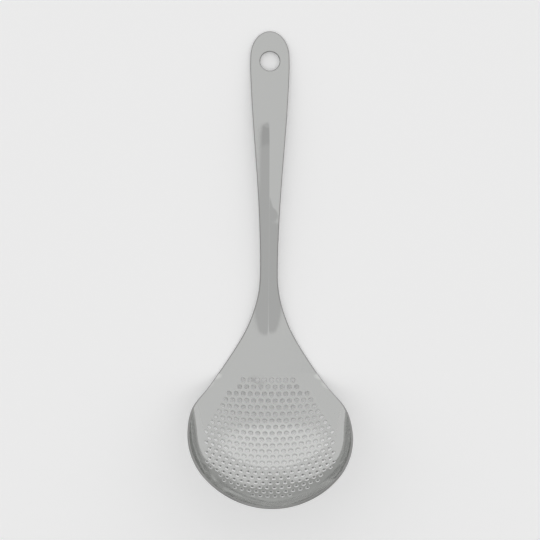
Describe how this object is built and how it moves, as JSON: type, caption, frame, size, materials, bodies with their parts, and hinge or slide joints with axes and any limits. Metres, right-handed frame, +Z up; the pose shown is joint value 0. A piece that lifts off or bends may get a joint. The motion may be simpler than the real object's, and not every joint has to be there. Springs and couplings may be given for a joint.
{
  "type": "slotted spoon",
  "caption": "Skimming spoon pressed from one steel sheet: long flat handle with a hanging hole and a crease into the neck, and a deep round bowl pierced all over with small holes.",
  "frame": {"origin": "bottom centre of the box that holds the spoon as it lies on a table, hollow side up, on its heel and the tip of its handle", "axes": "+Z up; +Y along the handle from the bowl to the tip; +X across, to the right when looking down with the tip away; the spoon is symmetric about the plane X = 0"},
  "size_m": [0.1042, 0.3, 0.0689],
  "materials": {
    "steel": "bright stainless sheet with a fine lengthwise grain"
  },
  "bodies": {
    "root": {"spoon": "steel"}
  },
  "joints": []
}
